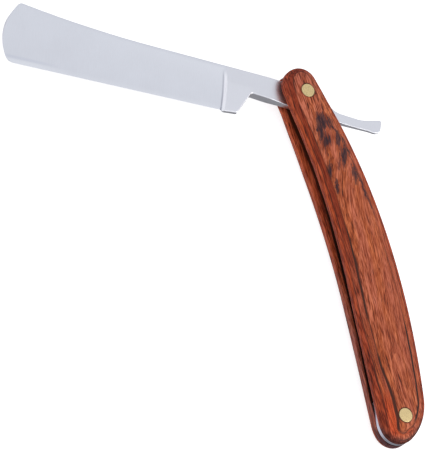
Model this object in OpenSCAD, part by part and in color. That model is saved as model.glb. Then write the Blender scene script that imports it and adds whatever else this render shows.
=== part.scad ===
// Straight razor: a hollow-ground blade that folds into two laminated wood scales.
// X runs from the pivot pin to the wedge pin, Y across the handle, Z along the pivot.
// The origin is on the back scale's outer face, on the pivot axis.

/* [Handle] */
// Distance between the pivot pin and the wedge pin
pin_span = 132.7; // [128:0.1:140]
// Thickness of each scale
scale_t = 4; // [3.8:0.1:4.4]
// Gap between the scales at the pivot pin
pivot_gap = 5.4; // [5.3:0.1:6]
// Gap between the scales at the wedge pin
wedge_gap = 2.2; // [2.2:0.1:3.6]
// How far each scale bows outwards between its pins
bow_h = 0.95; // [0.5:0.05:1.2]
// How far the crown reaches in from the edge of a scale
crown_w = 6.6; // [5:0.1:6.6]
// How far it reaches in round the pivot pin
crown_end_w = 4.4; // [3:0.1:4.4]
// How far the crown drops at the edge of a scale
crown_h = 1.9; // [1.4:0.1:2.4]

/* [Blade] */
// How far the blade is opened from its closed place
open_angle = 104.8; // [0:0.1:320]
// Thickness of the blade at its spine
spine_t = 4.6; // [4:0.1:4.6]
// Thickness left along the cutting edge
edge_t = 0.3; // [0.2:0.05:0.6]
// Radius of the grinding wheel that hollows each face
wheel_r = 52; // [45:1:54]
// Thickness of the tang where the washers bear on it
tang_t = 3; // [2.4:0.1:3.2]
// Thickness of the tip of the tail
tail_t = 1.2; // [0.8:0.1:2]

/* [Rivets and washers] */
// Radius of a rivet head
head_r = 2.75; // [2.4:0.05:3]
// Thickness of a rivet head
head_t = 1.1; // [0.8:0.1:1.3]
// Outer radius of a rivet tube
tube_r = 1.6; // [1.4:0.1:1.8]
// Radius of a rivet post, which is pressed into its tube
post_r = 1; // [0.8:0.1:1.1]
// Radius of a washer
washer_r = 3.2; // [2.8:0.1:3.6]

/* [Hidden] */
$fn = 96;
chord_error = 0.01;     // largest distance from a rounded corner's chords to its true arc
cut = 1;                // how far a cutting tool runs past the face that it cuts

// Places and clearances
mid_z = scale_t + pivot_gap / 2;                    // height of the blade's middle plane
splay = atan((pivot_gap - wedge_gap) / 2 / pin_span); // each scale leans in by this angle
running = 0.05;         // radial clearance round a rivet tube
bearing = 0.06;         // clearance between a washer and the tang
seat = 0.06;            // clearance between a washer and the leaning face of its scale
head_recess = 0.1;      // how far a rivet head lies under the scale's face
head_gap = 0.12;        // dark ring of clearance round a rivet head
tube_short = 0.3;       // how far a tube stops short of the other head
crown_blend = 35;       // the crown takes this long to reach its full width
bow_start = 5;          // the scales bow between this place
bow_end = pin_span - 12.7; // and this one
bow_step = 5;           // length of each flat that makes up the bow
closed_tilt = 6;        // the closed blade points this far to the slot's open side
wedge_x = pin_span - 8; // inner end of the wedge
pivot_pin = [0, 0];
end_pin = [pin_span, 0.8];
wedge_inset = 0.25;     // the wedge lies this far inside the edge of the scales

// Corners of the handle, each [x, y, radius], counterclockwise from the slot side
handle_corners = [
    [-8.2, -9.8, 8], [0.356 * pin_span, -3.7, 360], [pin_span + 1.8, -10.2, 13.5],
    [pin_span + 14.4, -7.3, 7.3], [pin_span + 3.7, 10.2, 21], [0.46 * pin_span, 24, 290],
    [-11.9, 3.9, 6.8]];

// Corners of the blade, each [along the blade, across it towards the edge, radius]
shoulder_u = 33.4;      // where the hollow grinding starts
edge_heel = 14.7;       // cutting edge's place across the blade, at the heel
edge_toe = 17.9;        // and at the toe
toe_u = 119.6;
spine_w = -3.3;         // place of the spine
blade_corners = [
    [1, spine_w, 10], [91, spine_w, 470], [118.2, -6.4, 1.5], [126.2, 4.9, 21],
    [toe_u, edge_toe, 2.5], [shoulder_u, edge_heel, 0.3], [32.8, 15.4, 0.3],
    [27.2, 15.4, 1], [21.9, 4.6, 1.2], [-19, 7.4, 40], [-29, 7.4, 14], [-34, 8.1, 1.8],
    [-35.3, 2.3, 0.8], [-26.5, 4.4, 14], [-16, 3.9, 10]];

// Half thickness along the blade, from the tip of the tail to past the toe
tang_land = 6;          // the washers bear on a flat stretch this long each way
thickness_line = [
    [-36, tail_t / 2], [-19, 1], [-tang_land, tang_t / 2], [tang_land, tang_t / 2],
    [20, 2.1], [27, spine_t / 2], [128, spine_t / 2]];
heel_line_w = 3;        // below this line the heel thins towards its foot
heel_foot_w = 15.4;
heel_foot_t = 2.3;

// Hollow grinding: a wheel meets each face at the cutting edge and near the spine
hollow_w = 19;          // width of the hollow, across the blade from the edge
edge_angle = atan2(edge_toe - edge_heel, toe_u - shoulder_u);
hollow_chord = [hollow_w, (spine_t - edge_t) / 2];
hollow_mid = [0, edge_t / 2] + hollow_chord / 2;
wheel_rise = sqrt(pow(wheel_r, 2) - pow(norm(hollow_chord) / 2, 2));
wheel_centre = hollow_mid
    + [-hollow_chord[1], hollow_chord[0]] / norm(hollow_chord) * wheel_rise;

// Direction from one point to another
function way(from, to) = (to - from) / norm(to - from);

// Chords of the arc that rounds the corner b between a and c, each as [point, inward normal].
// The outline runs counterclockwise, so a corner that turns left is an outer one.
function corner_chords(a, b, c, r) =
    let (
        into = way(a, b),
        out = way(b, c),
        bend = atan2(into[0] * out[1] - into[1] * out[0], into * out),
        side = sign(bend),
        reach = r * tan(abs(bend) / 2),
        normal = [-into[1], into[0]] * side,
        centre = b - into * reach + normal * r,
        start = atan2(-normal[1], -normal[0]),
        step = min(10, 2 * acos(1 - chord_error / max(r, 0.2))),
        steps = ceil(abs(bend) / step)
    )
    [for (i = [0 : steps])
        let (
            angle = start + bend * i / steps,
            ray = [cos(angle), sin(angle)]
        )
        [centre + ray * r, -ray * side]];

// Outline through a list of [x, y, radius] corners
function outline(corners) =
    let (n = len(corners))
    [for (i = [0 : n - 1])
        let (
            before = corners[(i + n - 1) % n],
            here = corners[i],
            after = corners[(i + 1) % n]
        )
        each corner_chords([before[0], before[1]], [here[0], here[1]],
            [after[0], after[1]], here[2])];

// The outline's points, moved inwards by a distance
function inset(line, distance) = [for (p = line) p[0] + p[1] * distance];

// Width of the crown at a place along the handle: it narrows towards the pivot pin
function crown_at(x) =
    let (share = min(1, max(0, x / crown_blend)))
    crown_end_w + (crown_w - crown_end_w) * share * share * (3 - 2 * share);

// How far a scale is bowed outwards at a place along it: most at a third of the way
function bow_at(x) =
    let (share = min(1, max(0, (x - bow_start) / (bow_end - bow_start))))
    bow_h * 6.75 * share * pow(1 - share, 2);

// Ring of points round the crown, at a share of its width and at one height of the board
function crown_ring(share, z, bowed = true) =
    [for (p = handle_line)
        let (place = p[0] + p[1] * share * crown_at(p[0][0]))
        [place[0], place[1], z + (bowed ? bow_at(place[0]) : 0)]];

handle_line = outline(handle_corners);
// The blade's corners run clockwise, so they are taken in reverse
blade_line = outline([for (i = [len(blade_corners) - 1 : -1 : 0]) blade_corners[i]]);

// Dome that gives a scale its outline and its crown. It runs past both of its faces.
module crown_dome() {
    crown_angle = 48;
    crown_steps = 6;
    over_share = 1.08;
    over_rise = 0.08;
    n = len(handle_line);
    rings = concat(
        [crown_ring(0, -cut, false)],
        [for (i = [0 : crown_steps - 1])
            let (angle = crown_angle * (1 - i / crown_steps))
            crown_ring(1 - sin(angle) / sin(crown_angle),
                scale_t - crown_h * (1 - cos(angle)) / (1 - cos(crown_angle)))],
        [crown_ring(over_share, scale_t + over_rise),
            crown_ring(over_share, scale_t + bow_h + cut, false)]);
    last = len(rings) - 1;
    walls = [for (k = [0 : last - 1], i = [0 : n - 1])
        let (next = (i + 1) % n)
        [k * n + i, (k + 1) * n + i, (k + 1) * n + next, k * n + next]];
    floor_face = [for (i = [0 : n - 1]) i];
    top_face = [for (i = [n - 1 : -1 : 0]) last * n + i];
    polyhedron([for (ring = rings) each ring], concat([floor_face], walls, [top_face]));
}

// One scale lying on its inner face, bowed along its length, with a crowned outer face
module scale_board() {
    past = 30;
    blank_w = 60;
    places = concat([-past], [for (x = [bow_start : bow_step : bow_end]) x],
        [pin_span + past]);
    last = len(places) - 1;
    intersection() {
        rotate([90, 0, 0])
            linear_extrude(blank_w, center = true)
                polygon(concat(
                    [for (x = places) [x, bow_at(x)]],
                    [for (i = [last : -1 : 0]) [places[i], scale_t + bow_at(places[i])]]));
        crown_dome();
    }
}

// Height of a scale's outer face over the middle plane, at a pin
function face_rise(x) = pivot_gap / 2 + scale_t / cos(splay) - x * tan(splay);

// Hole for a rivet tube with a sunk seat for the head, on one pin's axis
module rivet_hole(pin) {
    rise = face_rise(pin[0]);
    translate(pin)
        cylinder(h = rise + cut, r = tube_r + running);
    translate([pin[0], pin[1], rise - head_recess - head_t])
        cylinder(h = head_t + cut, r = head_r + head_gap);
}

// A scale in place over the middle plane
module scale_in_place() {
    difference() {
        translate([0, 0, pivot_gap / 2])
            rotate([0, splay, 0])
                scale_board();
        rivet_hole(pivot_pin);
        rivet_hole(end_pin);
    }
}

module front_scale() {
    color("sienna")
        translate([0, 0, mid_z])
            scale_in_place();
}

module back_scale() {
    color("sienna")
        translate([0, 0, mid_z])
            mirror([0, 0, 1])
                scale_in_place();
}

// Tapered wedge that fills the end of the gap between the scales
module end_wedge() {
    wedge_end = pin_span + 12;
    half_in = pivot_gap / 2 - wedge_x * tan(splay);
    half_out = pivot_gap / 2 - wedge_end * tan(splay);
    color("silver")
        translate([0, 0, mid_z])
            difference() {
                intersection() {
                    translate([0, 0, -pivot_gap])
                        linear_extrude(2 * pivot_gap)
                            polygon(inset(handle_line, wedge_inset));
                    rotate([90, 0, 0])
                        linear_extrude(60, center = true)
                            polygon([[wedge_x, -half_in], [wedge_end, -half_out],
                                [wedge_end, half_out], [wedge_x, half_in]]);
                }
                translate([end_pin[0], end_pin[1], -pivot_gap])
                    cylinder(h = 2 * pivot_gap, r = tube_r + running);
            }
}

// Washer that takes up the gap on one side of the tang
module washer() {
    low = tang_t / 2 + bearing;
    high = pivot_gap / 2 - seat;
    difference() {
        translate([0, 0, low])
            cylinder(h = high - low, r = washer_r);
        translate([0, 0, low - cut])
            cylinder(h = high - low + 2 * cut, r = tube_r + running);
    }
}

module front_washer() {
    color("darkkhaki")
        translate([0, 0, mid_z])
            washer();
}

module back_washer() {
    color("darkkhaki")
        translate([0, 0, mid_z])
            mirror([0, 0, 1])
                washer();
}

// Half of a two-part rivet: a head on the back scale and a tube up to the other head
module rivet_tube(pin) {
    seat_rise = face_rise(pin[0]) - head_recess - head_t;
    wall = 0.5;
    color("darkkhaki")
        translate([pin[0], pin[1], mid_z])
            difference() {
                union() {
                    translate([0, 0, -seat_rise - head_t])
                        cylinder(h = head_t, r = head_r);
                    translate([0, 0, -seat_rise - head_t / 2])
                        cylinder(h = 2 * seat_rise + head_t / 2 - tube_short, r = tube_r);
                }
                translate([0, 0, -seat_rise - head_t + wall])
                    cylinder(h = 2 * seat_rise + head_t, r = post_r);
            }
}

// The other half: a head on the front scale and a post pressed into the tube
module rivet_post(pin) {
    seat_rise = face_rise(pin[0]) - head_recess - head_t;
    press = 0.005;
    color("darkkhaki")
        translate([pin[0], pin[1], mid_z]) {
            translate([0, 0, seat_rise])
                cylinder(h = head_t, r = head_r);
            translate([0, 0, -seat_rise])
                cylinder(h = 2 * seat_rise + head_t / 2, r = post_r + press);
        }
}

module pivot_rivet_tube() {
    rivet_tube(pivot_pin);
}

module pivot_rivet_post() {
    rivet_post(pivot_pin);
}

module end_rivet_tube() {
    rivet_tube(end_pin);
}

module end_rivet_post() {
    rivet_post(end_pin);
}

// Slab with the blade's outline and its thickness along its length
module blade_blank() {
    across = 60;
    intersection() {
        translate([0, 0, -spine_t])
            linear_extrude(2 * spine_t)
                polygon([for (p = blade_line) p[0]]);
        rotate([90, 0, 0])
            linear_extrude(across, center = true)
                polygon(concat(thickness_line,
                    [for (i = [len(thickness_line) - 1 : -1 : 0])
                        [thickness_line[i][0], -thickness_line[i][1]]]));
    }
}

// Tool that thins one face of the heel towards its foot
module heel_cut() {
    fall = atan((spine_t - heel_foot_t) / 2 / (heel_foot_w - heel_line_w));
    length = shoulder_u - tang_land;
    translate([tang_land, heel_line_w, spine_t / 2])
        rotate([-fall, 0, 0])
            cube([length + cut, 30, 10]);
}

// Grinding wheel's path along one face, from the shoulder to past the toe
module hollow_cut() {
    translate([shoulder_u, edge_heel, 0])
        rotate([0, 0, edge_angle])
            translate([0, -wheel_centre[0], wheel_centre[1]])
                rotate([0, 90, 0])
                    cylinder(h = 120, r = wheel_r, $fn = 360);
}

module blade() {
    color("lightsteelblue")
        translate([0, 0, mid_z])
            rotate([0, 0, -closed_tilt - open_angle])
                difference() {
                    blade_blank();
                    for (side = [0, 1]) {
                        mirror([0, 0, side]) {
                            heel_cut();
                            hollow_cut();
                        }
                    }
                    translate([0, 0, -spine_t])
                        cylinder(h = 2 * spine_t, r = tube_r + running);
                }
}

blade();
front_scale();
back_scale();
end_wedge();
front_washer();
back_washer();
pivot_rivet_tube();
pivot_rivet_post();
end_rivet_tube();
end_rivet_post();
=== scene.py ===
import math

import bpy
import bmesh
import numpy as np
from mathutils import Matrix, Vector
from mathutils.geometry import delaunay_2d_cdt


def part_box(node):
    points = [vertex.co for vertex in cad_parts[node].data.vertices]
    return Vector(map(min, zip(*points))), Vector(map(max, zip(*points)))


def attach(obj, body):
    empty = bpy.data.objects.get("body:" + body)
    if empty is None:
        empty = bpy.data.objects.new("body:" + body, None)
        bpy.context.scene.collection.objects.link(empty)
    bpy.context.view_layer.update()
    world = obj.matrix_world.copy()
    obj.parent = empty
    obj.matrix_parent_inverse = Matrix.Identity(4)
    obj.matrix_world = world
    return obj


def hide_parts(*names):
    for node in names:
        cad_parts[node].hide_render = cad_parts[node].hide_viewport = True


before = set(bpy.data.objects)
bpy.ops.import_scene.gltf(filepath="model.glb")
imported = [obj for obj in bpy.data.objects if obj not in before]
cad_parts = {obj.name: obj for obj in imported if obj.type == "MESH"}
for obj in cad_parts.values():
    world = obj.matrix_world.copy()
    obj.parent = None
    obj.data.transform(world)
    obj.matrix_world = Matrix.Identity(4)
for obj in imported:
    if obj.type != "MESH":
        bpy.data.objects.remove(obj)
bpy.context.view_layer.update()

MM = 0.001
scene = bpy.context.scene


# ------------------------ places, from the frame (mm)

def centre(node):
    low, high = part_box(node)
    return (low + high) / 2 / MM


def span(node, axis):
    low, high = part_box(node)
    return (high[axis] - low[axis]) / MM


PIN_SPAN = centre("end_rivet_post").x
PIVOT_PIN = (0.0, 0.0)
END_PIN = (PIN_SPAN, centre("end_rivet_post").y)
MID_Z = centre("blade").z
SPINE_HALF = span("blade", 2) / 2
HEAD_R = span("pivot_rivet_post", 0) / 2
WASHER_R = span("front_washer", 0) / 2
PIVOT_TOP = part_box("pivot_rivet_post")[1].z / MM - MID_Z
END_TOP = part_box("end_rivet_post")[1].z / MM - MID_Z

SCALE_T = 4.0  # thickness of a scale's board
HEAD_RECESS = 0.1  # a rivet head lies this far under the wood
HEAD_GAP = 0.12  # clearance round a rivet head
HEAD_T = 1.1  # thickness of a rivet head
TUBE_R = 1.6
TUBE_SLACK = 0.05  # clearance round a rivet tube
POST_R = 1.0
LEAN = (PIVOT_TOP - END_TOP) / PIN_SPAN  # fall of a scale's face per mm along X
SPLAY = math.atan(LEAN)
GAP_HALF = PIVOT_TOP + HEAD_RECESS - SCALE_T / math.cos(SPLAY)  # half the gap at the pivot
BLADE_ANGLE = math.radians(-110.8)  # the blade's direction from the pivot, in XY
ROUND_STEPS = 96  # straight steps round a turned piece


# ------------------------ outlines with rounded corners

def outline(corners, step, finest=9.0):
    """Points and inward normals along a closed line through [x, y, radius] corners."""
    corner = np.array(corners, float)
    place, radius = corner[:, :2], corner[:, 2]
    count = len(place)
    into = place - np.roll(place, 1, axis=0)
    into /= np.linalg.norm(into, axis=1)[:, None]
    out = np.roll(into, -1, axis=0)
    bend = np.arctan2(into[:, 0] * out[:, 1] - into[:, 1] * out[:, 0], (into * out).sum(1))
    reach = radius * np.tan(abs(bend) / 2)
    points, normals = [], []
    for i in range(count):
        side = np.sign(bend[i])
        normal = np.array([-into[i][1], into[i][0]]) * side
        middle = place[i] - into[i] * reach[i] + normal * radius[i]
        start = math.atan2(-normal[1], -normal[0])
        steps = max(2, math.ceil(max(abs(bend[i]) * radius[i] / step,
                                     abs(math.degrees(bend[i])) / finest)))
        for k in range(steps + 1):
            angle = start + bend[i] * k / steps
            ray = np.array([math.cos(angle), math.sin(angle)])
            points.append(middle + ray * radius[i])
            normals.append(-ray * side)
        follow = (i + 1) % count
        last = points[-1]
        goal = place[follow] - into[follow] * reach[follow]
        pieces = max(1, math.ceil(np.linalg.norm(goal - last) / step))
        for k in range(1, pieces):
            points.append(last + (goal - last) * k / pieces)
            normals.append(normals[-1] if k > 1 else np.array([-out[i][1], out[i][0]]))
    return np.array(points), np.array(normals)


# the scales' outline, as [x, y, radius] corners
HANDLE_CORNERS = [
    (-8.2, -9.8, 8), (0.356 * PIN_SPAN, -3.7, 360), (PIN_SPAN + 1.8, -9.6, 13.5),
    (PIN_SPAN + 14.4, -7.3, 7.3), (PIN_SPAN + 3.7, 10.2, 21), (0.46 * PIN_SPAN, 24, 290),
    (-11.9, 3.9, 6.8)]


# ------------------------ mesh helpers

def new_object(name, data):
    obj = bpy.data.objects.new(name, data)
    scene.collection.objects.link(obj)
    return obj


def mesh_from(name, points_mm, faces):
    mesh = bpy.data.meshes.new(name)
    mesh.from_pydata((np.asarray(points_mm, float) * MM).tolist(), [], faces)
    mesh.validate()
    mesh.update()
    return new_object(name, mesh)


def smooth(obj, degrees):
    """Smooth shading with edges sharper than an angle kept crisp."""
    mesh = obj.data
    mesh.polygons.foreach_set("use_smooth", [True] * len(mesh.polygons))
    mesh.set_sharp_from_angle(angle=math.radians(degrees))
    mesh.update()


def outward(obj):
    bm = bmesh.new()
    bm.from_mesh(obj.data)
    bmesh.ops.recalc_face_normals(bm, faces=bm.faces)
    bm.to_mesh(obj.data)
    bm.free()


def band_faces(count, rings, first=0):
    """Quads between equal closed rings, whose points are numbered ring by ring from first."""
    faces = []
    for k in range(rings - 1):
        a, b = first + k * count, first + (k + 1) * count
        for i in range(count):
            j = (i + 1) % count
            faces.append((a + i, a + j, b + j, b + i))
    return faces


def stack_rings(rings):
    """Points and faces of a solid between equal closed rings, with a cap at both ends."""
    count = len(rings[0])
    faces = band_faces(count, len(rings))
    faces.append(tuple(range(count))[::-1])
    faces.append(tuple((len(rings) - 1) * count + i for i in range(count)))
    return np.vstack(rings), faces


def turned(profile, place=(0, 0)):
    """Points of a (radius, height) profile turned round a vertical axis, ring by ring."""
    angles = np.linspace(0, 2 * math.pi, ROUND_STEPS, endpoint=False)
    return [(place[0] + radius * math.cos(angle), place[1] + radius * math.sin(angle), height)
            for radius, height in profile for angle in angles]


def lathe(name, profile, place=(0, 0)):
    """Closed turned solid from (radius, height) points, the first and the last on the axis."""
    inner = profile[1:-1]
    points = [(*place, profile[0][1]), (*place, profile[-1][1])] + turned(inner, place)
    faces = band_faces(ROUND_STEPS, len(inner), 2)
    last = 2 + (len(inner) - 1) * ROUND_STEPS
    for i in range(ROUND_STEPS):
        j = (i + 1) % ROUND_STEPS
        faces.append((0, 2 + j, 2 + i))
        faces.append((1, last + i, last + j))
    obj = mesh_from(name, points, faces)
    outward(obj)
    return obj


def cut_with(obj, cutters):
    """Takes the cutters out of obj exactly, and removes them."""
    for cutter in cutters:
        modifier = obj.modifiers.new("cut", "BOOLEAN")
        modifier.operation = "DIFFERENCE"
        modifier.solver = "EXACT"
        modifier.object = cutter
    bpy.context.view_layer.update()
    depsgraph = bpy.context.evaluated_depsgraph_get()
    result = bpy.data.meshes.new_from_object(obj.evaluated_get(depsgraph))
    obj.modifiers.clear()
    old = obj.data
    obj.data = result
    bpy.data.meshes.remove(old)
    for cutter in cutters:
        mesh = cutter.data
        bpy.data.objects.remove(cutter)
        bpy.data.meshes.remove(mesh)


def drill(radius, low, high, place):
    return lathe("drill", [(0, low), (radius, low), (radius, high), (0, high)], place)


def cut_bore(obj, pin):
    """A rivet tube's bore through a piece between the scales."""
    past = 5.0
    cut_with(obj, [drill(TUBE_R + TUBE_SLACK, MID_Z - past, MID_Z + past, pin)])


# ------------------------ scales

CROWN_H = 1.9
CROWN_POWER = 1.8
# the back scale's crown is shallower: its height at places along X
BACK_CROWN = [(5, 1.9), (30, 1.05), (50, 1.1), (80, 1.35), (107, 0.85), (131, 0.3)]
# how far the crown reaches in at the pivot, and the changes from there: (start X, end X, change)
SLOT_REACH = (7.4, [(10, 35, 1.6), (104, 130, 3.5)])
CONVEX_REACH = (6.6, [(5, 35, 2.4), (95, 130, -1.2)])
WEDGE_END_REACH = 4.0
PIVOT_END_REACH = 9.0
REACH_BLURS = 12  # passes that blend these into each other round the outline
SHOULDER_R = 0.5  # radius that rounds the crown into the wall
INNER_EASE = 0.15  # radius that eases the inner face's edge
BOW_H = 0.95
BOW_START, BOW_END = 5.0, PIN_SPAN - 12.7
BOW_PEAK = 6.75  # brings the greatest value of share * (1 - share) ** 2 to 1
SCALE_STEP = 0.7  # spacing of points along a scale's outline
TOP_PITCH, TOP_CLEAR = 0.8, 0.5  # spacing inside the top face, and its distance from the rim
LOW_PITCH, LOW_CLEAR = 2.4, 1.0  # the same on the inner face
SKY = 3.0  # the scales' cutters run this far past a rivet's head
CRISP = 35  # edges sharper than this stay crisp, in degrees


def ease(x, low, high):
    t = np.clip((x - low) / (high - low), 0, 1)
    return t * t * (3 - 2 * t)


def bow_at(x):
    """How far a scale is bowed outwards: most at a third of the way along."""
    share = np.clip((x - BOW_START) / (BOW_END - BOW_START), 0, 1)
    return BOW_H * BOW_PEAK * share * (1 - share) ** 2


def reach_along(x, start, changes):
    return start + sum(change * ease(x, low, high) for low, high, change in changes)


def crown_widths(points, normals):
    """How far the crown reaches in from each point of the outline."""
    x = points[:, 0]
    share = normals ** 2
    along_side = np.where(normals[:, 1] > 0, reach_along(x, *SLOT_REACH), reach_along(x, *CONVEX_REACH))
    at_end = np.where(normals[:, 0] > 0, WEDGE_END_REACH, PIVOT_END_REACH)
    width = along_side * share[:, 1] + at_end * share[:, 0]
    for _ in range(REACH_BLURS):
        width = (np.roll(width, 1) + 2 * width + np.roll(width, -1)) / 4
    return width


def crown_height(x, side):
    """How high the crown rises over its rim."""
    if side > 0:
        return np.full(np.shape(x), CROWN_H)
    return np.interp(x, *np.transpose(BACK_CROWN))


def crown_drop(place, points, width, side):
    """How far the crown lies under the top at each place."""
    follow = np.roll(points, -1, axis=0)
    way = follow - points
    drop = np.empty(len(place))
    for a in range(0, len(place), 1000):
        away = place[a:a + 1000, None] - points[None]
        t = np.clip((away * way).sum(2) / (way ** 2).sum(1), 0, 1)
        gap = np.linalg.norm(away - t[..., None] * way, axis=2)
        share = (gap / (width + t * (np.roll(width, -1) - width))).min(1)
        drop[a:a + 1000] = np.clip(1 - share, 0, 1) ** CROWN_POWER
    drop *= crown_height(place[:, 0], side)
    return drop


def fill_loop(loop, pitch, clear):
    """Triangles over a closed loop of 2D points, with a grid of new points inside it."""
    low, high = loop.min(0), loop.max(0)
    follow = np.roll(loop, -1, axis=0)
    inner = []
    for row, y in enumerate(np.arange(low[1], high[1], pitch * 0.87)):
        for x in np.arange(low[0] + (row % 2) * pitch / 2, high[0], pitch):
            inner.append((x, y))
    inner = np.array(inner)
    keep = np.zeros(len(inner), bool)
    for a in range(0, len(inner), 1000):
        part = inner[a:a + 1000, None]
        over = (loop[:, 1] > part[..., 1]) != (follow[:, 1] > part[..., 1])
        with np.errstate(divide="ignore", invalid="ignore"):
            reach = loop[:, 0] + (part[..., 1] - loop[:, 1]) * (follow[:, 0] - loop[:, 0]) / (
                follow[:, 1] - loop[:, 1])
        inside = (over & (part[..., 0] < reach)).sum(1) % 2 == 1
        near = ((part - loop[None]) ** 2).sum(2).min(1) < clear ** 2
        keep[a:a + 1000] = inside & ~near
    inner = inner[keep]
    every = np.vstack([loop, inner])
    count = len(loop)
    edges = [(i, (i + 1) % count) for i in range(count)]
    found = delaunay_2d_cdt([Vector(p) for p in every], edges, [], 1, 1e-7)
    source = [old[0] for old in found[3]]
    return inner, [tuple(source[i] for i in face) for face in found[2]]


def make_scale(name, side):
    """One bowed, crowned board, side +1 in front of the blade or -1 behind it."""
    points, normals = outline(HANDLE_CORNERS, SCALE_STEP)
    width = crown_widths(points, normals)
    count = len(points)

    def ring(inwards, height):
        flat = points + normals * inwards
        return np.column_stack([flat, np.broadcast_to(height, count)])

    rings = []
    for turn in np.radians((0, 30, 60, 90)):
        rings.append(ring(INNER_EASE * (1 - math.sin(turn)), INNER_EASE * (1 - math.cos(turn))))
    rise = crown_height(points[:, 0], side)
    for share in (1 / 3, 2 / 3):
        rings.append(ring(0, INNER_EASE + (SCALE_T - rise - SHOULDER_R - INNER_EASE) * share))
    for turn in np.radians(np.arange(0, 91, 15)):
        inwards = SHOULDER_R * (1 - math.cos(turn))
        drop = rise * (1 - inwards / width) ** CROWN_POWER
        rings.append(ring(inwards, SCALE_T - drop - SHOULDER_R * (1 - math.sin(turn))))
    faces = band_faces(count, len(rings))
    base = len(rings) * count
    last = base - count
    top_inner, top_faces = fill_loop(rings[-1][:, :2], TOP_PITCH, TOP_CLEAR)
    low_inner, low_faces = fill_loop(rings[0][:, :2], LOW_PITCH, LOW_CLEAR)
    faces += [tuple(v + last for v in face) for face in top_faces]
    base += len(top_inner)
    faces += [tuple(v if v < count else v + base - count for v in face)[::-1] for face in low_faces]
    top_z = SCALE_T - crown_drop(top_inner, points, width, side)
    place = np.vstack(rings + [np.column_stack([top_inner, top_z]),
                               np.column_stack([low_inner, np.zeros(len(low_inner))])])
    place[:, 2] += bow_at(place[:, 0])
    place = place @ np.array(Matrix.Rotation(SPLAY, 3, "Y")).T
    place[:, 2] = MID_Z + side * (place[:, 2] + GAP_HALF)
    obj = mesh_from(name, place, faces)
    outward(obj)
    cutters = []
    for pin, top in ((PIVOT_PIN, PIVOT_TOP), (END_PIN, END_TOP)):
        seat = MID_Z + side * (top - HEAD_T)
        sky = MID_Z + side * (top + SKY)
        for radius, start in ((TUBE_R + TUBE_SLACK, MID_Z), (HEAD_R + HEAD_GAP, seat)):
            cutters.append(drill(radius, min(start, sky), max(start, sky), pin))
    cut_with(obj, cutters)
    smooth(obj, CRISP + 5)
    return obj


# ------------------------ blade
# In the blade's own frame u runs from the pivot to the toe, and w across it from spine to edge.

SHOULDER_U = 33.4  # the hollow-ground part starts here
EDGE_HEEL = 14.6  # w of the cutting edge at the heel
EDGE_TOE = 17.65  # and at the toe
HEEL_FOOT_W = 15.2
TOE_U = 119.3
SPINE_W = -3.7
SPINE_TURN_U = 64.4  # the spine bends away from here on
SPINE_TURN = 850  # twice the bend's radius
TOE_TOP = (117.6, -7.05)  # where the spine turns into the toe
TOE_LOW = (118.4, 16.6)  # where the toe turns into the edge
TAIL_TOP = (-35.0, 1.9)  # the two corners of the tail's tip
TAIL_LOW = (-33.6, 7.2)
BLADE_CORNERS = [
    (1, SPINE_W, 10), (90, SPINE_W, 425), (*TOE_TOP, 2.0), (124.8, 4.9, 21),
    (TOE_U, EDGE_TOE, 3.6), (SHOULDER_U, EDGE_HEEL, 0.3), (32.8, HEEL_FOOT_W, 0.3),
    (26.6, 14.5, 0.8), (21.7, 5.0, 1.2), (-19, 7.45, 40), (-29, 7.4, 14), (-34.6, 7.8, 2.8),
    (-35.3, 1.1, 0.8), (-26.5, 3.6, 14), (-16, 3.3, 10)]
# half the thickness of the tail, tang and spine: (u, half)
TANG_LINE = ((-36, 0.6), (-19, 1.0), (-6, 1.5), (8, 1.5), (14, 2.15), (27, SPINE_HALF),
             (130, SPINE_HALF))
HEEL_FOOT_HALF = 0.85
HEEL_TOP_W = 3.0  # the heel thins from here to its foot
HEEL_START_U, HEEL_FULL_U = 16, 24  # and comes out of the tang here
EDGE_HALF = 0.15
KEEN_HALF = 0.04  # half the thickness left at the cutting edge itself
BEVEL_W = 0.7
SPINE_LAND = 1.0
HOLLOW_SAG = 1.95
# the shoulder's crest is a curve: its least u and the w there, and how far u grows a spread away
CREST_U, CREST_W, CREST_BEND, CREST_SPREAD = 31.9, 10.0, 0.9, 11.0
CREST_RUN = 1.25  # the shoulder falls to the hollow over this length
BLADE_STEP, BLADE_TURN = 0.05, 3.0  # spacing along the outline, and degrees round a bend
EASE_R = 0.32  # radius that eases the outline
EASE_SHARE = 0.7  # the most of the half thickness that it takes
KEEN_BAND = 1.2  # the outline isn't eased this near the cutting edge
RIM = (0, 0.03, 0.08, 0.15, 0.24, 0.36)  # fine steps in from the outline
ACROSS = 40  # even steps across a rib
TAIL_U, TOE_START_U = -28.0, 109.4  # the ribs turn round the ends from here


def side_curve(line, a, b):
    """Part of a closed line of points from index a to index b, going forwards."""
    if b < a:
        b += len(line)
    return line[np.arange(a, b + 1) % len(line)]


def nearest(line, place):
    return int(np.argmin(((line - np.array(place)) ** 2).sum(1)))


def along(curve, share):
    """Points at shares of a curve's length."""
    length = np.concatenate([[0], np.cumsum(np.linalg.norm(np.diff(curve, axis=0), axis=1))])
    where = np.asarray(share) * length[-1]
    return np.column_stack([np.interp(where, length, curve[:, k]) for k in (0, 1)])


def beyond(curve, start_u):
    """The part of a curve from start_u outwards, away from the pivot."""
    if start_u > 0:
        return curve[curve[:, 0] >= start_u]
    return curve[curve[:, 0] <= start_u][::-1]


def edge_line(u):
    return EDGE_HEEL + (EDGE_TOE - EDGE_HEEL) * (u - SHOULDER_U) / (TOE_U - SHOULDER_U)


def spine_line(u):
    return SPINE_W - np.maximum(u - SPINE_TURN_U, 0) ** 2 / SPINE_TURN


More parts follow.
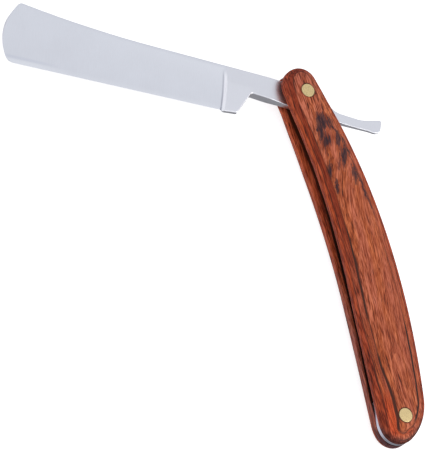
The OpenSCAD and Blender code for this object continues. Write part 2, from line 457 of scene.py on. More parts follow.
def half_thickness(u, w):
    """Half the blade's thickness at each place, before its edges are eased."""
    tang = np.interp(u, *np.transpose(TANG_LINE))
    ramp = np.clip((w - HEEL_TOP_W) / (HEEL_FOOT_W - HEEL_TOP_W), 0, 1)
    heel = tang - (SPINE_HALF - HEEL_FOOT_HALF) * ramp * ease(u, HEEL_START_U, HEEL_FULL_U)
    reach = edge_line(u) - spine_line(u) - SPINE_LAND
    share = np.clip((edge_line(u) - w) / reach, 0, 1)
    hollow = EDGE_HALF + (SPINE_HALF - EDGE_HALF) * share - HOLLOW_SAG * share * (1 - share)
    crest = CREST_U + CREST_BEND * ((w - CREST_W) / CREST_SPREAD) ** 2
    over = np.clip((u - crest) / CREST_RUN, 0, 1)
    return heel + (hollow - heel) * np.sin(over * math.pi / 2)


def eased_half(flat, line):
    """Half the thickness at each place, with the outline eased and the cutting edge bevelled."""
    gap = np.empty(len(flat))
    index = np.empty(len(flat), int)
    for a in range(0, len(flat), 2000):
        square = ((flat[a:a + 2000, None] - line[None]) ** 2).sum(2)
        index[a:a + 2000] = square.argmin(1)
        gap[a:a + 2000] = np.sqrt(square.min(1))
    hollow_u = SHOULDER_U + 0.3
    on_edge = (line[:, 0] > hollow_u) & (line[:, 1] > edge_line(line[:, 0]) - KEEN_BAND)
    base = half_thickness(flat[:, 0], flat[:, 1])
    radius = np.minimum(np.where(on_edge, 0.0, EASE_R)[index], EASE_SHARE * base)
    inward = np.clip(1 - gap / np.maximum(radius, 1e-6), 0, 1)
    half = base - radius * (1 - np.sqrt(1 - inward ** 2))
    bevel = np.clip(1 - (edge_line(flat[:, 0]) - flat[:, 1]) / BEVEL_W, 0, 1)
    return np.where(flat[:, 0] > hollow_u, half - bevel * (EDGE_HALF - KEEN_HALF), half)


def cross_shares(length):
    """Shares across a rib: fine steps at both ends, even ones between."""
    first = np.array(RIM) / length
    middle = np.linspace(first[-1], 1 - first[-1], ACROSS)
    return np.concatenate([first[:-1], middle, (1 - first[:-1])[::-1]])


def end_shares(length, count):
    """Shares along a rounded end of the blade, fine at its tip."""
    first = np.linspace(0, 1 - RIM[-1] / length, count)
    return np.concatenate([first, (1 - np.array(RIM[:-1]) / length)[::-1]])


def straight_rib(spine, edge, u):
    top = np.array([u, np.interp(u, spine[:, 0], spine[:, 1])])
    low = np.array([u, np.interp(u, edge[:, 0], edge[:, 1])])
    return top + (low - top) * cross_shares(low[1] - top[1])[:, None]


def end_ribs(spine, edge, bound, start_u, shares):
    """Ribs that turn from a straight one at start_u into a rounded end."""
    top = along(beyond(spine, start_u), shares)
    low = along(beyond(edge, start_u), shares)
    t = cross_shares(np.linalg.norm(bound[0] - bound[-1]))
    start = np.column_stack([np.full(len(t), start_u), top[0][1] + (low[0][1] - top[0][1]) * t])
    end = along(bound, t)
    ribs = []
    for s, a, b in zip(shares, top, low):
        blend = (1 - s) * start + s * end + np.outer(1 - t, a) + np.outer(t, b)
        blend -= (np.outer((1 - s) * (1 - t), top[0]) + np.outer((1 - s) * t, low[0])
                  + np.outer(s * (1 - t), bound[0]) + np.outer(s * t, bound[-1]))
        ribs.append(blend)
    return ribs


def blade_ribs(line):
    """Grid of places over the blade, one rib from the spine to the edge after another."""
    toe_top, toe_low, tail_low, tail_top = (
        nearest(line, corner) for corner in (TOE_TOP, TOE_LOW, TAIL_LOW, TAIL_TOP))
    spine = side_curve(line, toe_top, tail_top)[::-1]
    tail = side_curve(line, tail_top, tail_low)
    edge = side_curve(line, tail_low, toe_low)
    toe = side_curve(line, toe_low, toe_top)[::-1]
    # closer together round the heel and the shoulder
    stations = np.concatenate([
        np.arange(-27.6, 21.0, 0.7), np.arange(21.0, 27.6, 0.2), np.arange(27.6, 31.2, 0.4),
        np.arange(31.2, 34.6, 0.1), np.arange(34.6, 109, 0.8)])
    ribs = end_ribs(spine, edge, tail, TAIL_U, end_shares(7, 14))[::-1]
    ribs += [straight_rib(spine, edge, u) for u in stations]
    ribs += end_ribs(spine, edge, toe, TOE_START_U, end_shares(12, 22))
    return np.array(ribs)


def make_blade():
    """The blade, its tang and tail: two faces of ribs, joined round the outline."""
    line, _ = outline(BLADE_CORNERS[::-1], BLADE_STEP, BLADE_TURN)
    grid = blade_ribs(line)
    rows, cols = grid.shape[:2]
    flat = grid.reshape(-1, 2)
    half = eased_half(flat, line)
    n = rows * cols
    faces = []
    for i in range(rows - 1):
        for j in range(cols - 1):
            a, b = i * cols + j, i * cols + j + 1
            c, d = (i + 1) * cols + j + 1, (i + 1) * cols + j
            faces.append((a, b, c, d))
            faces.append((n + d, n + c, n + b, n + a))
    loop = [(i, 0) for i in range(rows)] + [(rows - 1, j) for j in range(1, cols)]
    loop += [(i, cols - 1) for i in range(rows - 2, -1, -1)] + [(0, j) for j in range(cols - 2, 0, -1)]
    loop = [i * cols + j for i, j in loop]
    for a, b in zip(loop, loop[1:] + loop[:1]):
        faces.append((a, b, n + b, n + a))
    turn = np.array([[math.cos(BLADE_ANGLE), math.sin(BLADE_ANGLE)],
                     [-math.sin(BLADE_ANGLE), math.cos(BLADE_ANGLE)]])
    height = MID_Z + np.concatenate([half, -half])
    placed = np.column_stack([np.vstack([flat, flat]) @ turn, height])
    obj = mesh_from("razor_blade", placed, faces)
    outward(obj)
    cut_bore(obj, PIVOT_PIN)
    smooth(obj, CRISP)
    return obj


# ------------------------ wedge, washers and rivets

WEDGE_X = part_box("end_wedge")[0].x / MM
WEDGE_INSET = 0.08
WEDGE_TAPER = 0.9  # how much further in the wedge's thin end lies
WEDGE_TAPER_L = 11  # the length that it comes out over
WEDGE_EASE = 0.5  # radius that eases the wedge's edges
WASHER_EASE = 0.1
TUBE_SHORT = 0.3  # how far a tube stops short of the other head
TUBE_LIP = 0.1  # bevel at a tube's mouth
POST_FIT = 0.004  # clearance of a post in its tube
POST_TIP, POST_TIP_L = 0.15, 0.1  # width and length of the bevel at a post's end


def wedge_line():
    """Closed line round the wedge with its inward normals: the scales' outline and a flat end."""
    points, normals = outline(HANDLE_CORNERS, 0.5)
    inset = WEDGE_INSET + WEDGE_TAPER * (1 - ease(points[:, 0], WEDGE_X, WEDGE_X + WEDGE_TAPER_L))
    line = points + normals * inset[:, None]
    keep = line[:, 0] > WEDGE_X + 0.3
    start = np.argmax(keep & ~np.roll(keep, 1))
    order = [(start + i) % len(line) for i in range(len(line)) if keep[(start + i) % len(line)]]
    line, normals = line[order], normals[order]
    end_a = np.array([WEDGE_X, line[-1][1]])
    end_b = np.array([WEDGE_X, line[0][1]])
    steps = 24
    flat_end = [end_a + (end_b - end_a) * k / steps for k in range(steps + 1)]
    return np.vstack([line, flat_end]), np.vstack([normals, [(1.0, 0.0)] * len(flat_end)])


def make_wedge():
    """Tapered metal wedge with eased edges."""
    line, normals = wedge_line()

    def ring(inwards, face):
        """A ring on the eased edge of the upper face (1) or the lower one (-1)."""
        flat = line + normals * inwards
        drop = WEDGE_EASE - inwards
        fall = WEDGE_EASE - math.sqrt(max(0, WEDGE_EASE ** 2 - drop ** 2))
        return np.column_stack([flat, MID_Z + face * (GAP_HALF - flat[:, 0] * LEAN - fall)])

    def wall_ring(share):
        return np.column_stack([line, MID_Z + share * (GAP_HALF - line[:, 0] * LEAN)])

    steps = [WEDGE_EASE * (1 - math.sin(math.radians(a))) for a in range(0, 91, 15)]
    rings = [ring(step, -1) for step in steps] + [wall_ring(-0.5), wall_ring(0.5)]
    rings += [ring(step, 1) for step in steps[::-1]]
    obj = mesh_from("wedge_spacer", *stack_rings(rings))
    outward(obj)
    cut_bore(obj, END_PIN)
    smooth(obj, CRISP)
    return obj


def make_washer(name, node):
    low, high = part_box(node)
    a, b = low.z / MM, high.z / MM
    e = WASHER_EASE
    inner, outer = TUBE_R + TUBE_SLACK, WASHER_R
    profile = [(inner, a + e), (inner + e, a), (outer - e, a), (outer, a + e),
               (outer, b - e), (outer - e, b), (inner + e, b), (inner, b - e)]
    faces = band_faces(ROUND_STEPS, len(profile))
    last = (len(profile) - 1) * ROUND_STEPS
    for i in range(ROUND_STEPS):
        j = (i + 1) % ROUND_STEPS
        faces.append((last + i, last + j, j, i))
    obj = mesh_from(name, turned(profile), faces)
    outward(obj)
    smooth(obj, CRISP)
    return obj


def head_profile(top):
    """Slightly domed head, sanded flush: (radius, height) from the axis out to its underside."""
    dome = 0.04
    edge = 0.12
    rows = [(0.0, top + dome)]
    for share in (0.25, 0.5, 0.75, 0.93):
        rows.append(((HEAD_R - edge) * share, top + dome * (1 - share ** 2)))
    for angle in np.radians((90, 60, 30, 0)):
        rows.append((HEAD_R - edge + edge * math.cos(angle), top - edge + edge * math.sin(angle)))
    rows.append((HEAD_R, top - HEAD_T))
    return rows


def make_rivet_half(name, pin, top, shank, side):
    """A head and its shank, on the front (side 1) or the back (-1)."""
    obj = lathe(name, [(r, MID_Z + side * z) for r, z in head_profile(top) + shank], pin)
    smooth(obj, CRISP)
    return obj


def make_post(name, pin, top):
    under = top - HEAD_T
    shank = [(POST_R, under), (POST_R, -under + POST_TIP_L), (POST_R - POST_TIP, -under), (0.0, -under)]
    return make_rivet_half(name, pin, top, shank, 1)


def make_tube(name, pin, top):
    under = top - HEAD_T
    mouth = under - TUBE_SHORT
    hole = POST_R + POST_FIT
    shank = [(TUBE_R, under), (TUBE_R, -mouth + TUBE_LIP), (TUBE_R - TUBE_LIP, -mouth),
             (POST_R + TUBE_LIP, -mouth), (hole, -mouth + TUBE_LIP), (hole, under + 0.5),
             (0.0, under + 0.5)]
    return make_rivet_half(name, pin, top, shank, -1)


# ------------------------ shader helpers

class Nodes:
    """Small builder for a material's node tree."""

    def __init__(self, name):
        self.material = bpy.data.materials.new(name)
        self.material.use_nodes = True
        self.tree = self.material.node_tree
        self.tree.nodes.clear()
        self.output = self.add("ShaderNodeOutputMaterial")
        self.shader = self.add("ShaderNodeBsdfPrincipled")
        self.link(self.shader.outputs[0], self.output.inputs["Surface"])

    def add(self, kind, **settings):
        node = self.tree.nodes.new(kind)
        for key, value in settings.items():
            setattr(node, key, value)
        return node

    def link(self, source, target):
        self.tree.links.new(source, target)

    def feed(self, socket, value):
        if isinstance(value, bpy.types.NodeSocket):
            self.link(value, socket)
        else:
            socket.default_value = value

    def feed_all(self, node, keys, values):
        for key, value in zip(keys, values):
            self.feed(node.inputs[key], value)

    def math(self, operation, *values):
        node = self.add("ShaderNodeMath", operation=operation)
        self.feed_all(node, range(len(values)), values)
        return node.outputs[0]

    def chain(self, operation, first, *others):
        for other in others:
            first = self.math(operation, first, other)
        return first

    def plus(self, *values):
        return self.chain("ADD", *values)

    def minus(self, a, b):
        return self.math("SUBTRACT", a, b)

    def times(self, *values):
        return self.chain("MULTIPLY", *values)

    def over(self, a, b):
        return self.math("DIVIDE", a, b)

    def most(self, *values):
        return self.chain("MAXIMUM", *values)

    def distance(self, dx, dy):
        return self.math("SQRT", self.plus(self.times(dx, dx), self.times(dy, dy)))

    def around_half(self, value, weight):
        """A noise value moved to swing round 0, by a weight."""
        return self.times(self.minus(value, 0.5), weight)

    def vector(self, x, y, z=0.0):
        node = self.add("ShaderNodeCombineXYZ")
        self.feed_all(node, "XYZ", (x, y, z))
        return node.outputs[0]

    def noise(self, vector, scale=1.0, detail=3.0, roughness=0.55):
        node = self.add("ShaderNodeTexNoise")
        self.feed_all(node, ("Vector", "Scale", "Detail", "Roughness"), (vector, scale, detail, roughness))
        return node.outputs["Fac"]

    def ramp(self, value, low, high, out_low=0.0, out_high=1.0, soft=True):
        """The value between low and high, mapped to out_low and out_high and held outside them."""
        node = self.add("ShaderNodeMapRange", interpolation_type="SMOOTHSTEP" if soft else "LINEAR")
        self.feed_all(node, ("Value", "From Min", "From Max", "To Min", "To Max"),
                      (value, low, high, out_low, out_high))
        return node.outputs["Result"]

    def colours(self, value, stops):
        node = self.add("ShaderNodeValToRGB")
        self.feed(node.inputs["Fac"], value)
        band = node.color_ramp.elements
        while len(band) < len(stops):
            band.new(0.5)
        for element, (place, colour) in zip(band, stops):
            element.position = place
            element.color = (*colour, 1)
        return node.outputs["Color"]

    def mix(self, share, a, b, kind="MIX"):
        node = self.add("ShaderNodeMix", data_type="RGBA", blend_type=kind)
        self.feed(node.inputs["Factor"], share)
        for socket, colour in ((node.inputs[6], a), (node.inputs[7], b)):
            self.feed(socket, colour if isinstance(colour, bpy.types.NodeSocket) else (*colour, 1))
        return node.outputs[2]

    def tint(self, share, base, colour):
        """The base multiplied by a colour, as far as share says."""
        return self.mix(share, base, self.mix(1.0, base, colour, "MULTIPLY"))

    def millimetres(self):
        """The surface's place in the part's own frame, in mm, as X, Y and Z."""
        place = self.add("ShaderNodeTexCoord").outputs["Object"]
        scale = self.add("ShaderNodeVectorMath", operation="SCALE")
        self.link(place, scale.inputs[0])
        scale.inputs["Scale"].default_value = 1 / MM
        split = self.add("ShaderNodeSeparateXYZ")
        self.link(scale.outputs[0], split.inputs[0])
        return split.outputs

    def run_across(self, x, y, angle):
        """Distances along and across a direction, given as an angle in radians."""
        cos, sin = math.cos(angle), math.sin(angle)
        run = self.plus(self.times(x, cos), self.times(y, sin))
        return run, self.minus(self.times(y, cos), self.times(x, sin))

    def bump(self, height, distance_mm, strength=0.6):
        node = self.add("ShaderNodeBump")
        self.feed_all(node, ("Strength", "Distance", "Height"), (strength, distance_mm * MM, height))
        self.link(node.outputs[0], self.shader.inputs["Normal"])


# ------------------------ wood

PLY_T = 0.7
# dark figure in the wood: (x, y, half length, half width, slant in degrees, strength)
DARK_FIGURE = [
    (13.4, 2.7, 3.1, 2.2, 62, 0.90), (17.2, 0.1, 4.4, 1.0, -8, 0.98), (21.6, 1.2, 2.7, 1.6, -35, 1.0),
    (21.6, 6.3, 2.7, 1.0, -12, 1.0), (16.8, 6.3, 2.6, 0.7, 16, 0.8), (27.8, 7.3, 4.4, 1.4, -28, 1.0),
    (35.1, 9.7, 3.2, 0.9, -12, 0.95), (42.0, 11.3, 4.0, 0.6, 3, 0.9), (33.4, -0.9, 2.4, 0.8, -12, 0.9),
    (41.2, -0.4, 2.6, 0.6, -6, 0.75), (30.5, 4.4, 3.0, 0.5, -26, 0.6), (49.0, 12.6, 4.0, 0.4, 2, 0.75),
    (24.5, 9.4, 4.0, 0.5, 16, 0.75), (26.5, -0.2, 3.2, 0.45, -14, 0.6)]
WOOD_TONES = [
    (0.08, (0.085, 0.018, 0.008)), (0.22, (0.235, 0.040, 0.013)), (0.36, (0.305, 0.061, 0.021)),
    (0.50, (0.380, 0.088, 0.035)), (0.64, (0.465, 0.118, 0.051)), (0.80, (0.590, 0.165, 0.078))]
YELLOWER = (1.04, 1.0, 0.75)
REDDER = (0.95, 0.94, 1.12)
PIVOT_TINT = (0.80, 0.76, 1.05)
# colour of each ply as a multiple of the face's, from the outside in
PLY_TINT = [(1, 1, 1), (1.0, 0.94, 0.92), (0.80, 0.52, 0.40), (0.98, 0.62, 0.42), (0.86, 0.52, 0.36),
            (0.98, 0.62, 0.48)]
PAINTED_SLOT_SHADE = (0.52, 0.30, 0.20)  # the second ply again, where it shows along the slot: painted shade on that side
BRIGHT_TINT = (1.30, 0.85, 0.55)  # and where it is brightest, by the end pin
PAINTED_END_SHADE = (0.24, 0.36, 0.80)  # painted shade on the walls round both ends
WALL_TINTS = (1.2, 1.4, 1.5), (0.90, 1.5, 3.0)  # the back board's wall, by the pivot and beyond
PAINTED_DEEP_SHADE = (0.075, 0.018, 0.008), (0.018, 0.006, 0.004)  # painted shade deep in the slot, by the pivot and beyond
PORE_COLOUR = (0.080, 0.018, 0.010)
FIGURE_COLOUR = (0.020, 0.012, 0.018)
GLUE_COLOUR = (0.038, 0.013, 0.008)
# painted shade round the rivet heads, partly burn marks
RING_SHADE_AND_BURN = (0.05, 0.014, 0.010)
SLOT_VIEW = 1.1  # how far in the slot's inner faces stay free of painted shade, in half gaps


def slot_edge_curve():
    """Y of the handle's slot-side edge as a polynomial in X / PIN_SPAN, highest power first."""
    points, normals = outline(HANDLE_CORNERS, 1.0)
    low = points[normals[:, 1] > 0.5]
    return np.polyfit(low[:, 0] / PIN_SPAN, low[:, 1], 6)


class Wood(Nodes):
    """Laminated wood: the places, plies and streaks that its colours share. X is along the handle."""

    def __init__(self):
        super().__init__("laminated_wood")
        self.x, self.y, z = self.millimetres()
        self.above = self.minus(z, MID_Z)
        self.rise = self.math("ABSOLUTE", self.above)
        self.side = self.math("SIGN", self.above)
        self.slot_side = self.ramp(self.y, 4, 0)
        self.find_plies()
        self.find_grain()

    def find_plies(self):
        """Depth under the flat, bowed top of the board, and the ply at that depth."""
        x, y = self.x, self.y
        share = self.ramp(x, BOW_START, BOW_END, 0, 1, False)
        rest = self.minus(1.0, share)
        bow = self.times(share, self.times(rest, rest), BOW_PEAK * BOW_H)
        self.outer = self.plus(self.minus(GAP_HALF + SCALE_T, self.times(x, LEAN)), bow)
        self.true_depth = self.minus(self.outer, self.rise)
        wander = self.noise(self.vector(self.times(x, 0.05), self.times(y, 0.14), self.side), 1.0, 2.0)
        lift = self.most(self.ramp(x, 90, 106, 0, 0.2), self.ramp(x, 6, -4, 0, 0.22))
        self.depth = self.plus(self.true_depth, self.around_half(wander, 0.3),
                               self.times(lift, self.slot_side), self.ramp(x, 133, 141, 0, -0.35))
        self.layer = self.over(self.depth, PLY_T)

    def find_grain(self):
        """The grain runs along the handle and swerves where the figure is."""
        x, y = self.x, self.y
        ply = self.math("FLOOR", self.layer)
        swerve = self.plus(self.ramp(x, 14, 56, 0.0, 9.0), self.ramp(x, 50, 125, 0.0, 4.5))
        swerve = self.times(swerve, self.ramp(self.true_depth, 1.0, 0.6))
        wave = self.noise(self.vector(self.times(x, 0.04), self.times(y, 0.08), ply), 1.0, 2.0)
        self.across = self.plus(y, swerve, wave, self.times(ply, 13.7), self.times(self.side, 31.0))
        self.bands = self.streaks(20, 2.2, 5.0)
        self.fibres = self.streaks(7.5, 0.72, 9.0, 0.6)
        self.fine = self.streaks(4.5, 0.34, 14.0, 0.6)

    def streaks(self, length, width, shift, roughness=0.5, detail=2.0):
        """Noise drawn out along the grain, its streaks of a length and a width in mm."""
        place = self.vector(self.over(self.x, length), self.over(self.across, width),
                            self.plus(self.over(self.rise, width), shift))
        return self.noise(place, 1.0, detail, roughness)

    def face_colour(self):
        """Streaks of light and dark, livelier at the pivot, with yellower and redder ones."""
        x = self.x
        swing = self.plus(self.around_half(self.streaks(45, 6.0, 0.0), 0.30),
                          self.around_half(self.bands, 0.40),
                          self.around_half(self.fibres, 1.25), self.around_half(self.fine, 1.65))
        livelier = self.most(self.ramp(x, 15, 9, 1.0, 1.7), self.plus(1.0, self.times(self.slot_side, 0.25)))
        self.tone = self.plus(self.times(swing, livelier), self.ramp(x, 60, 30, 0.46, 0.55))
        base = self.colours(self.tone, WOOD_TONES)
        hue = self.streaks(26, 4.0, 40.0)
        base = self.tint(self.ramp(hue, 0.48, 0.64, 0.0, 0.9), base, YELLOWER)
        base = self.tint(self.ramp(hue, 0.52, 0.36, 0.0, 0.7), base, REDDER)
        return self.tint(self.ramp(x, 4, -5, 0.0, 0.5), base, PIVOT_TINT)

    def ply_tints(self, base):
        """Each deeper ply's own colour, which changes along the slot, with painted shade on the slot side's
        second ply and on the walls round the ends.
        """
        x, layer = self.x, self.layer
        for number in range(1, len(PLY_TINT)):
            ratio = tuple(b / a for a, b in zip(PLY_TINT[number - 1], PLY_TINT[number]))
            base = self.tint(self.math("GREATER_THAN", layer, float(number)), base, ratio)
        second = self.times(self.math("GREATER_THAN", layer, 1.0), self.math("LESS_THAN", layer, 2.0),
                            self.slot_side)
        # painted shade: the second ply darker on the slot side, fading along X
        shaded = self.times(second, self.ramp(x, 52, 96, 1.0, 0.25), self.ramp(x, 124, 134, 1.0, 0.0))
        base = self.tint(shaded, base, PAINTED_SLOT_SHADE)
        bright = self.times(second, self.ramp(x, 118, 130), self.ramp(x, 141, 138))
        base = self.tint(bright, base, BRIGHT_TINT)
        # painted shade on the walls at both ends, deepest at the wedge end
        ends = self.most(self.ramp(x, 131, 139, 0, 0.85), self.ramp(x, -5, -11, 0, 0.25))
        return self.tint(self.times(ends, self.ramp(self.true_depth, 1.1, 1.9)), base, PAINTED_END_SHADE)

    def pores(self, base):
        """Short dark flecks along the grain."""
        self.pore_mask = self.ramp(self.streaks(5.0, 0.55, 24.0, detail=1.0), 0.60, 0.70)
        return self.mix(self.times(self.pore_mask, 0.5), base, PORE_COLOUR)

    def blot(self, x, y, half_l, half_w, slant, strength):
        """One soft oval of the dark figure, from its own middle."""
        run, across = self.run_across(x, y, math.radians(slant))
        away = self.distance(self.over(run, half_l), self.over(across, half_w))
        return self.ramp(away, 2.2, 0.2, 0.0, strength, False)

    def figure(self, base):
        """Dark figure in the outer plies, torn along the grain at its edges."""
        warp = self.around_half(self.noise(self.vector(self.x, self.y, self.side), 0.3, 2.0), 2.6)
        x, y = self.plus(self.x, warp), self.minus(self.y, warp)
        dark = self.most(*(self.blot(self.minus(x, cx), self.minus(y, cy), *shape)
                           for cx, cy, *shape in DARK_FIGURE))
        torn = self.plus(dark, self.around_half(self.fibres, 2.2), self.around_half(self.fine, 1.8))
        dark = self.times(self.ramp(torn, 0.36, 0.58), self.ramp(dark, 0.05, 0.3),
                          self.ramp(self.depth, 1.2, 0.8))
        worn_through = self.times(self.ramp(self.fine, 0.50, 0.64, 0.96, 0.80),
                                  self.ramp(self.bands, 0.45, 0.62, 1.0, 0.90))
        return self.mix(self.times(dark, worn_through), base, FIGURE_COLOUR)

    def glue_lines(self, base):
        """Dark lines between the plies, darkest and widest along the slot side."""
        x, y, layer = self.x, self.y, self.layer
        off = self.math("ABSOLUTE", self.minus(layer, self.math("ROUND", layer)))
        inside = self.times(self.ramp(layer, 0.5, 0.6, 0, 1, False), self.ramp(layer, 5.4, 5.3, 0, 1, False))
        strong = self.most(self.times(self.ramp(x, 52, 60), self.ramp(x, 98, 92)),
                           self.times(self.ramp(x, 103, 110), self.ramp(x, 139.5, 137)))
        strong = self.times(strong, self.ramp(y, 0.5, -1.2))
        strong = self.most(strong, self.times(self.ramp(x, 88, 104, 0, 1.4), self.ramp(y, 3, 6)))
        strong = self.times(strong, self.ramp(layer, 1.6, 1.4, 0, 1, False))
        patchy = self.most(self.ramp(self.streaks(30, 3.0, 20.0), 0.40, 0.6, 0.15, 0.9),
                           self.ramp(x, 4, -2, 0, 0.8))
        reach = self.plus(0.10, self.times(strong, 0.05), self.around_half(self.fibres, 0.16),
                          self.around_half(self.bands, 0.12))
        line = self.ramp(self.minus(reach, off), -0.02, 0.07)
        line = self.times(line, inside, self.most(patchy, strong))
        return self.mix(self.times(line, 0.93), base, GLUE_COLOUR)

    def rivet_shade_and_burn(self, base):
        """A thin dark ring round each rivet: painted shade round the head, with some burn marks in the wood.
        """
        for pin in (PIVOT_PIN, END_PIN):
            away = self.distance(self.minus(self.x, pin[0]), self.minus(self.y, pin[1]))
            base = self.mix(self.ramp(away, HEAD_R + 0.6, HEAD_R + 0.2, 0.0, 0.65), base, RING_SHADE_AND_BURN)
        return base

    def slot_shade(self, base):
        """A duller wall on the back board, and painted shade on the inner faces that deepens away from the
        slot's mouth.
        """
        x = self.x
        wall = self.times(self.math("LESS_THAN", self.above, 0.0), self.slot_side,
                          self.ramp(self.true_depth, 0.9, 1.6))
        base = self.tint(wall, base, self.mix(self.ramp(x, 45, 100), *WALL_TINTS))
        along_pins = self.over(x, PIN_SPAN)
        edge_y = 0.0
        for factor in slot_edge_curve():
            edge_y = self.math("MULTIPLY_ADD", edge_y, along_pins, float(factor))
        half_gap = self.minus(self.outer, SCALE_T)
        deep = self.minus(self.minus(self.y, edge_y), self.times(half_gap, SLOT_VIEW))
        # painted shade on the inner faces, deeper away from the slot's mouth
        inner = self.ramp(self.true_depth, SCALE_T - 0.25, SCALE_T - 0.05)
        deep_shade = self.mix(self.ramp(x, 30, 70), *PAINTED_DEEP_SHADE)
        return self.mix(self.times(inner, self.ramp(deep, -1.15, -0.35)), base, deep_shade)


def wood_material():
    n = Wood()
    base = n.face_colour()
    for paint in (n.ply_tints, n.pores, n.figure, n.glue_lines, n.rivet_shade_and_burn, n.slot_shade):
        base = paint(base)
    n.link(base, n.shader.inputs["Base Color"])
    n.link(n.ramp(n.tone, 0.3, 0.7, 0.52, 0.40, False), n.shader.inputs["Roughness"])
    n.shader.inputs["Specular IOR Level"].default_value = 0.16
    n.bump(n.plus(n.times(n.fibres, 0.6), n.times(n.pore_mask, -0.5)), 0.06)
    return n.material


# ------------------------ metals

STEEL_COLOUR = (0.76, 0.77, 0.80)
# painted shade in the corner at the blade's shoulder
CORNER_SHADE_COLOUR = (0.26, 0.26, 0.32)
# painted highlight along the ridge at the blade's shoulder
RIDGE_HIGHLIGHT_COLOUR = (0.99, 0.99, 1.0)
WORN_COLOUR = (0.86, 0.87, 0.89)
STREAK_COLOUR = (0.62, 0.64, 0.72)
HEEL_COLOUR = (0.80, 0.79, 0.81)


def metal_nodes(name, colour, roughness, grind, tint=0.04, fine=0.004, speckle=0.0):
    """Metal with fine grinding marks, grind being the direction that they run in (degrees in XY)."""
    n = Nodes(name)
    x, y, z = n.millimetres()
    run, across = n.run_across(x, y, math.radians(grind))
    marks = n.noise(n.vector(n.times(run, 0.12), n.times(across, 5.0), n.times(z, 3.0)), 1.0, 4.0, 0.6)
    cloud = n.noise(n.vector(x, y, z), 0.08, 3.0, 0.5)
    shade = n.plus(n.times(marks, 0.5), n.times(cloud, 0.5))
    low = tuple(c * (1 - tint) for c in colour)
    high = tuple(min(1, c * (1 + tint)) for c in colour)
    n.base = n.colours(shade, [(0.3, low), (0.7, high)])
    if speckle:
        grit = n.noise(n.vector(x, y, z), 2.2, 2.0, 0.6)
        n.base = n.tint(n.ramp(grit, 0.40, 0.62), n.base, (1 - speckle,) * 3)
    n.link(n.base, n.shader.inputs["Base Color"])
    n.shader.inputs["Metallic"].default_value = 1.0
    n.link(n.ramp(shade, 0.3, 0.7, roughness * 1.12, roughness * 0.88, False), n.shader.inputs["Roughness"])
    n.bump(marks, fine)
    return n


def steel_material():
    """Satin steel, with painted shade in the corner at the shoulder under a painted highlight on its ridge,
    and worn along the cutting edge.
    """
    n = metal_nodes("satin_steel", STEEL_COLOUR, 0.35, math.degrees(BLADE_ANGLE) + 90)
    x, y, _ = n.millimetres()
    u, w = n.run_across(x, y, BLADE_ANGLE)
    bend = n.times(n.minus(w, CREST_W), 1 / CREST_SPREAD)
    past = n.minus(u, n.plus(CREST_U, n.times(bend, bend, CREST_BEND)))
    low_part = n.ramp(w, SPINE_W + 1.5, SPINE_W + 5.0)
    # painted shade on the corner's foot, most in its middle and at the heel, under a painted highlight along
    # the ridge
    corner = n.times(n.ramp(past, 0.85, 1.1), n.ramp(past, 1.65, 1.35),
                     n.most(n.ramp(w, 3, 12, 0.4, 0.65), n.ramp(w, 12.6, 13.8)))
    ridge = n.times(n.ramp(past, -0.25, 0.1), n.ramp(past, 0.95, 0.6))
    base = n.mix(n.times(corner, low_part, 0.9), n.base, CORNER_SHADE_COLOUR)
    # painted highlight on the shoulder's ridge
    base = n.mix(n.times(ridge, low_part), base, RIDGE_HIGHLIGHT_COLOUR)
    # a paler worn band above the cutting edge, strongest at the toe, with a darker streak over it
    above_edge = n.minus(n.ramp(u, SHOULDER_U, TOE_U, EDGE_HEEL, EDGE_TOE, False), w)
    worn = n.times(n.ramp(above_edge, 2.2, 1.0), n.ramp(u, 92, 112, 0.15, 0.6))
    base = n.mix(worn, base, WORN_COLOUR)
    streak = n.times(n.ramp(above_edge, 1.6, 2.2), n.ramp(above_edge, 3.4, 2.6))
    base = n.mix(n.times(streak, n.ramp(u, 96, 110, 0.0, 0.35)), base, STREAK_COLOUR)
    base = n.mix(n.times(n.math("LESS_THAN", past, 0.0), 0.35), base, HEEL_COLOUR)
    n.link(base, n.shader.inputs["Base Color"])
    return n.material


# ------------------------ the pieces

def finish_with(obj, material, body, nodes):
    obj.data.materials.clear()
    obj.data.materials.append(material)
    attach(obj, body)
    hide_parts(*nodes)


wood = wood_material()
steel = steel_material()
silver = metal_nodes("wedge_metal", (0.64, 0.63, 0.69), 0.32, 0).material
brass = metal_nodes("sanded_brass", (0.765, 0.59, 0.295), 0.42, 20, 0.05, 0.01, 0.16).material
washer_brass = metal_nodes("washer_brass", (0.70, 0.55, 0.28), 0.35, 60, 0.06, 0.006).material

finish_with(make_scale("scale_board_front", 1), wood, "handle", ["front_scale"])
finish_with(make_scale("scale_board_back", -1), wood, "handle", ["back_scale"])
finish_with(make_blade(), steel, "blade", ["blade"])
finish_with(make_wedge(), silver, "handle", ["end_wedge"])
for which in ("front", "back"):
    node = which + "_washer"
    finish_with(make_washer("washer_ring_" + which, node), washer_brass, "handle", [node])
for which, pin, top in (("pivot", PIVOT_PIN, PIVOT_TOP), ("end", END_PIN, END_TOP)):
    for half, make in (("post", make_post), ("tube", make_tube)):
        finish_with(make(f"{which}_pin_{half}", pin, top), brass, "handle",
                    [f"{which}_rivet_{half}"])


# ------------------------ floor, light and camera

FLOOR_HALF = 3.0  # m
FLOOR_DROP = 0.0009  # m under the pivot's rest face, as the bowed back scale hangs lower
CARD_WAY = (-0.45, -0.80, -0.40)  # towards the reflector card
LIGHT_PLACE, LIGHT_AIM = (500, 500, 600), (40, -20, 0)  # mm
CAMERA_PLACE = (283.01, -451.45, 725.68 + MID_Z)  # mm
CAMERA_BACK = (0.27207, -0.46466, 0.84266)  # from what it looks at, back to the camera
CAMERA_UP = (-0.92522, 0.11436, 0.36179)


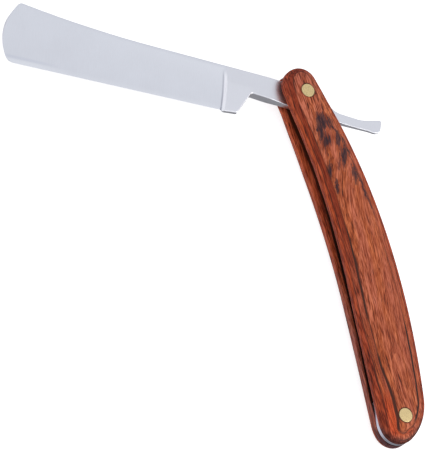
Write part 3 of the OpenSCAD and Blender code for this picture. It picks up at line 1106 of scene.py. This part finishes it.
def make_floor():
    """Pale floor just under the bowed back scale."""
    corners = [(-1, -1), (1, -1), (1, 1), (-1, 1)]
    mesh = bpy.data.meshes.new("floor")
    mesh.from_pydata([(x * FLOOR_HALF, y * FLOOR_HALF, -FLOOR_DROP) for x, y in corners], [], [(0, 1, 2, 3)])
    floor = new_object("floor", mesh)
    material = bpy.data.materials.new("floor_paper")
    material.use_nodes = True
    shader = material.node_tree.nodes["Principled BSDF"]
    for key, value in (("Base Color", (0.6, 0.6, 0.6, 1)), ("Roughness", 0.9), ("Specular IOR Level", 0.1),
                       ("Emission Color", (1, 1, 1, 1)), ("Emission Strength", 0.75)):
        shader.inputs[key].default_value = value
    mesh.materials.append(material)
    floor.visible_diffuse = False
    floor.visible_glossy = False
    floor.visible_shadow = False


def make_world():
    """Even studio light, darker from below, with a pale reflector card on one side."""
    world = bpy.data.worlds.new("studio")
    scene.world = world
    world.use_nodes = True
    nodes, link = world.node_tree.nodes, world.node_tree.links.new
    background = nodes["Background"]
    place = nodes.new("ShaderNodeTexCoord").outputs["Generated"]

    split = nodes.new("ShaderNodeSeparateXYZ")
    height = nodes.new("ShaderNodeMapRange")
    height.inputs["From Min"].default_value = -1
    band = nodes.new("ShaderNodeValToRGB")
    low, high = band.color_ramp.elements
    low.position, low.color = 0.40, (0.30, 0.30, 0.32, 1)
    high.position, high.color = 0.62, (0.80, 0.82, 0.88, 1)
    link(place, split.inputs[0])
    link(split.outputs["Z"], height.inputs["Value"])
    link(height.outputs["Result"], band.inputs["Fac"])

    card = nodes.new("ShaderNodeVectorMath")
    card.operation = "DOT_PRODUCT"
    card.inputs[1].default_value = CARD_WAY
    facing = nodes.new("ShaderNodeMapRange")
    facing.inputs["From Min"].default_value = 0.45
    facing.inputs["From Max"].default_value = 0.80
    link(place, card.inputs[0])
    link(card.outputs["Value"], facing.inputs["Value"])

    blend = nodes.new("ShaderNodeMix")
    blend.data_type = "RGBA"
    blend.inputs[7].default_value = (0.85, 0.85, 0.92, 1)
    link(facing.outputs["Result"], blend.inputs["Factor"])
    link(band.outputs["Color"], blend.inputs[6])
    link(blend.outputs[2], background.inputs["Color"])
    background.inputs["Strength"].default_value = 1.0


def make_light():
    """One large soft light behind and above the handle."""
    data = bpy.data.lights.new("key", "AREA")
    data.energy = 3.0
    data.size = 0.5
    data.color = (1.0, 0.98, 0.95)
    lamp = new_object("key", data)
    lamp.location = Vector(LIGHT_PLACE) * MM
    way = Vector(LIGHT_AIM) - Vector(LIGHT_PLACE)
    lamp.rotation_euler = way.to_track_quat("-Z", "Y").to_euler()


def make_camera():
    data = bpy.data.cameras.new("camera")
    data.lens = 182.0
    data.sensor_width = 36.0
    data.clip_start = 0.01
    camera = new_object("camera", data)
    back = Vector(CAMERA_BACK).normalized()
    right = Vector(CAMERA_UP).cross(back).normalized()
    turn = Matrix((right, back.cross(right), back)).transposed().to_4x4()
    camera.matrix_world = Matrix.Translation(Vector(CAMERA_PLACE) * MM) @ turn
    scene.camera = camera


make_floor()
make_world()
make_light()
make_camera()
scene.view_settings.view_transform = "Standard"
scene.view_settings.look = "None"
